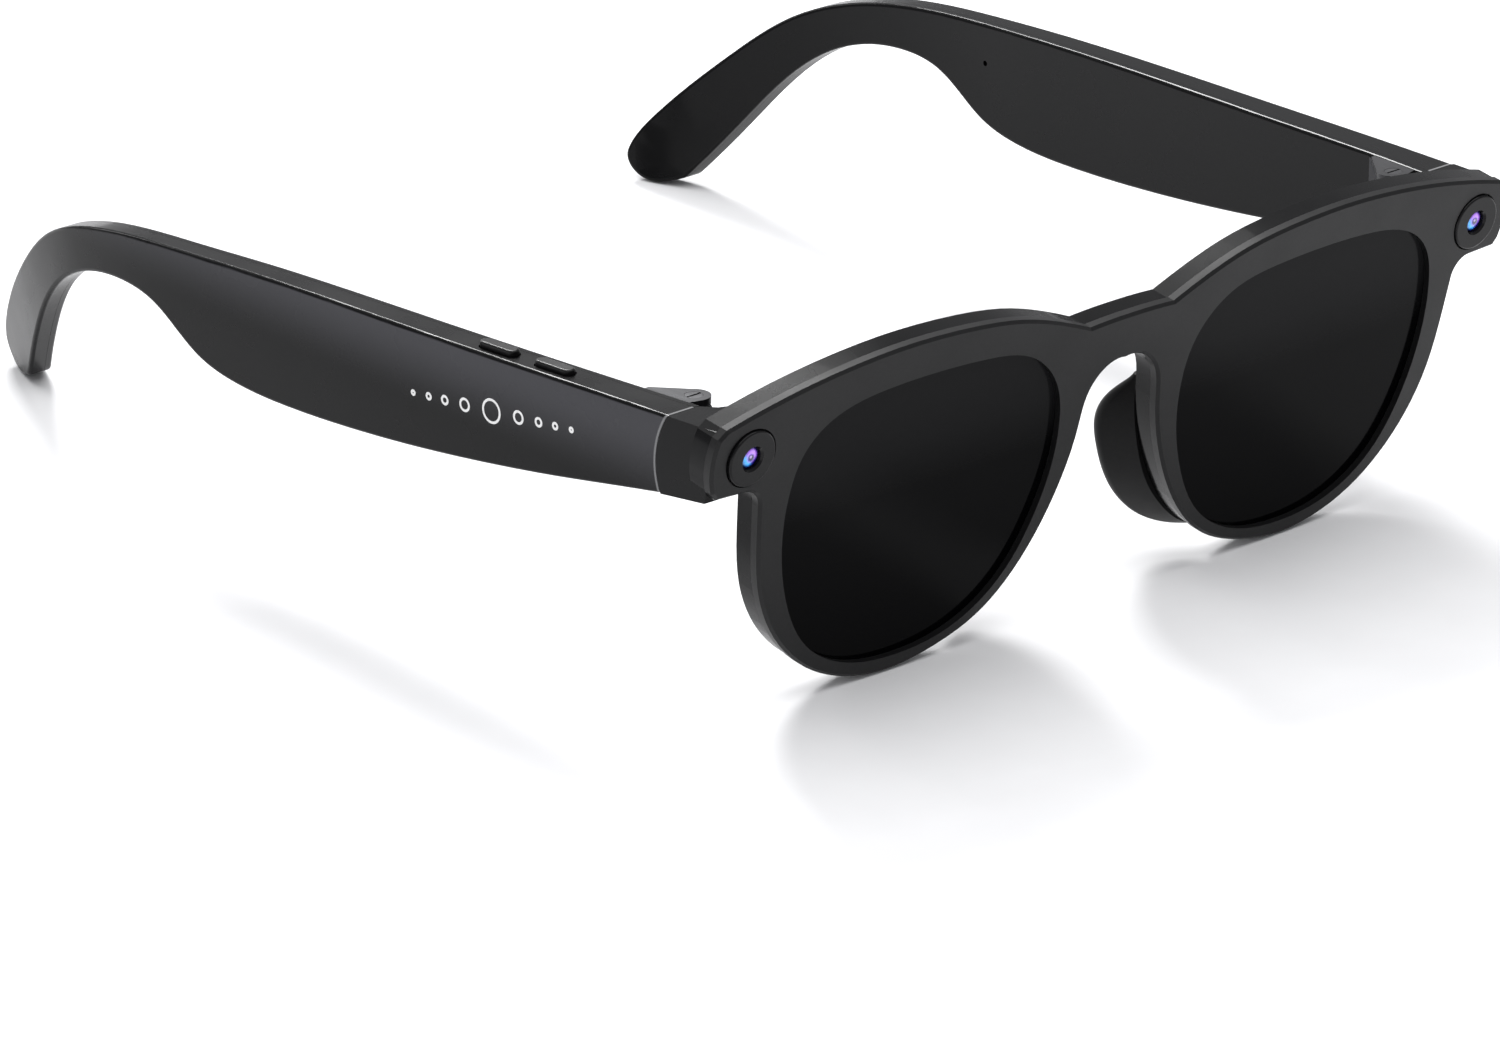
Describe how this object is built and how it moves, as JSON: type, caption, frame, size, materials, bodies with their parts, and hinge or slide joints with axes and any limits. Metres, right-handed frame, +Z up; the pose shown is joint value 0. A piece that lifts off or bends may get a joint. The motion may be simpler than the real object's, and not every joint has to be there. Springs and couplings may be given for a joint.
{
  "type": "smart glasses",
  "caption": "Black smart glasses with tinted lenses, a camera window at each end of the front, folding electronics temples, and two press buttons.",
  "frame": {"origin": "middle of the footprint, on the surface that the open glasses lie on", "axes": "+Z up from the surface, +Y from the front towards the temple tips, +X towards the wearer's left"},
  "size_m": [0.1522, 0.1608, 0.0496],
  "materials": {
    "front_satin": "satin dark grey moulded plastic",
    "casing_gloss": "polished black plastic",
    "tinted_lens": "dark tinted lens",
    "bezel_gloss": "glossy black",
    "coated_glass": "violet coated glass",
    "module_black": "black",
    "pad_rubber": "soft black",
    "hinge_metal": "dark grey metal",
    "screw_steel": "steel",
    "washer_nylon": "natural nylon",
    "flex_film": "amber film",
    "battery_foil": "foil pouch",
    "circuit_board": "solder mask",
    "chip_resin": "moulded resin",
    "speaker_can": "plated steel",
    "grille_metal": "black mesh",
    "button_plastic": "black",
    "seat_plastic": "black",
    "contact_gold": "gold plated",
    "mark_white": "white print"
  },
  "bodies": {
    "front": {"brow_flex_cable": "flex_film", "front_plate": "front_satin", "left_camera_bezel": "bezel_gloss", "left_camera_lens": "coated_glass", "left_camera_module": "module_black", "left_frame_hinge": "hinge_metal", "left_frame_screws": "screw_steel", "left_nose_pad": "pad_rubber", "left_sun_lens": "tinted_lens", "right_camera_bezel": "bezel_gloss", "right_camera_lens": "coated_glass", "right_camera_module": "module_black", "right_frame_hinge": "hinge_metal", "right_frame_screws": "screw_steel", "right_nose_pad": "pad_rubber", "right_sun_lens": "tinted_lens", "rim_body": "casing_gloss"},
    "power_button": {"power_button": "button_plastic"},
    "capture_button": {"capture_button": "button_plastic"},
    "left_temple": {"left_battery": "battery_foil", "left_board": "circuit_board", "left_board_chips": "chip_resin", "left_hinge_screw": "screw_steel", "left_hinge_washers": "washer_nylon", "left_microphone": "module_black", "left_speaker": "speaker_can", "left_speaker_grille": "grille_metal", "left_temple_cable": "flex_film", "left_temple_cover": "casing_gloss", "left_temple_hinge": "hinge_metal", "left_temple_screws": "screw_steel", "left_temple_shell": "casing_gloss"},
    "right_temple": {"button_switches": "chip_resin", "charging_contacts": "contact_gold", "charging_magnets": "speaker_can", "charging_seat": "seat_plastic", "right_battery": "battery_foil", "right_board": "circuit_board", "right_board_chips": "chip_resin", "right_hinge_screw": "screw_steel", "right_hinge_washers": "washer_nylon", "right_microphone": "module_black", "right_speaker": "speaker_can", "right_speaker_grille": "grille_metal", "right_temple_cable": "flex_film", "right_temple_cover": "casing_gloss", "right_temple_hinge": "hinge_metal", "right_temple_screws": "screw_steel", "right_temple_shell": "casing_gloss", "touch_marks": "mark_white", "touch_sensor": "flex_film"}
  },
  "joints": [
    {"name": "right_temple_fold", "type": "hinge", "parent": "front", "child": "right_temple", "pos_m": [-0.0655, -0.06512, 0.03837], "axis": [0, -0.0525, -0.9986], "range_deg": [0, 92]},
    {"name": "left_temple_fold", "type": "hinge", "parent": "front", "child": "left_temple", "pos_m": [0.0655, -0.06512, 0.03837], "axis": [0, 0.0525, 0.9986], "range_deg": [0, 80]},
    {"name": "power_button_press", "type": "slide", "parent": "right_temple", "child": "power_button", "axis": [0, -0.0525, -0.9986], "range_m": [0, 0.0004], "stiffness_N_per_m": 1500},
    {"name": "capture_button_press", "type": "slide", "parent": "right_temple", "child": "capture_button", "axis": [0, -0.0525, -0.9986], "range_m": [0, 0.0004], "stiffness_N_per_m": 1500}
  ]
}
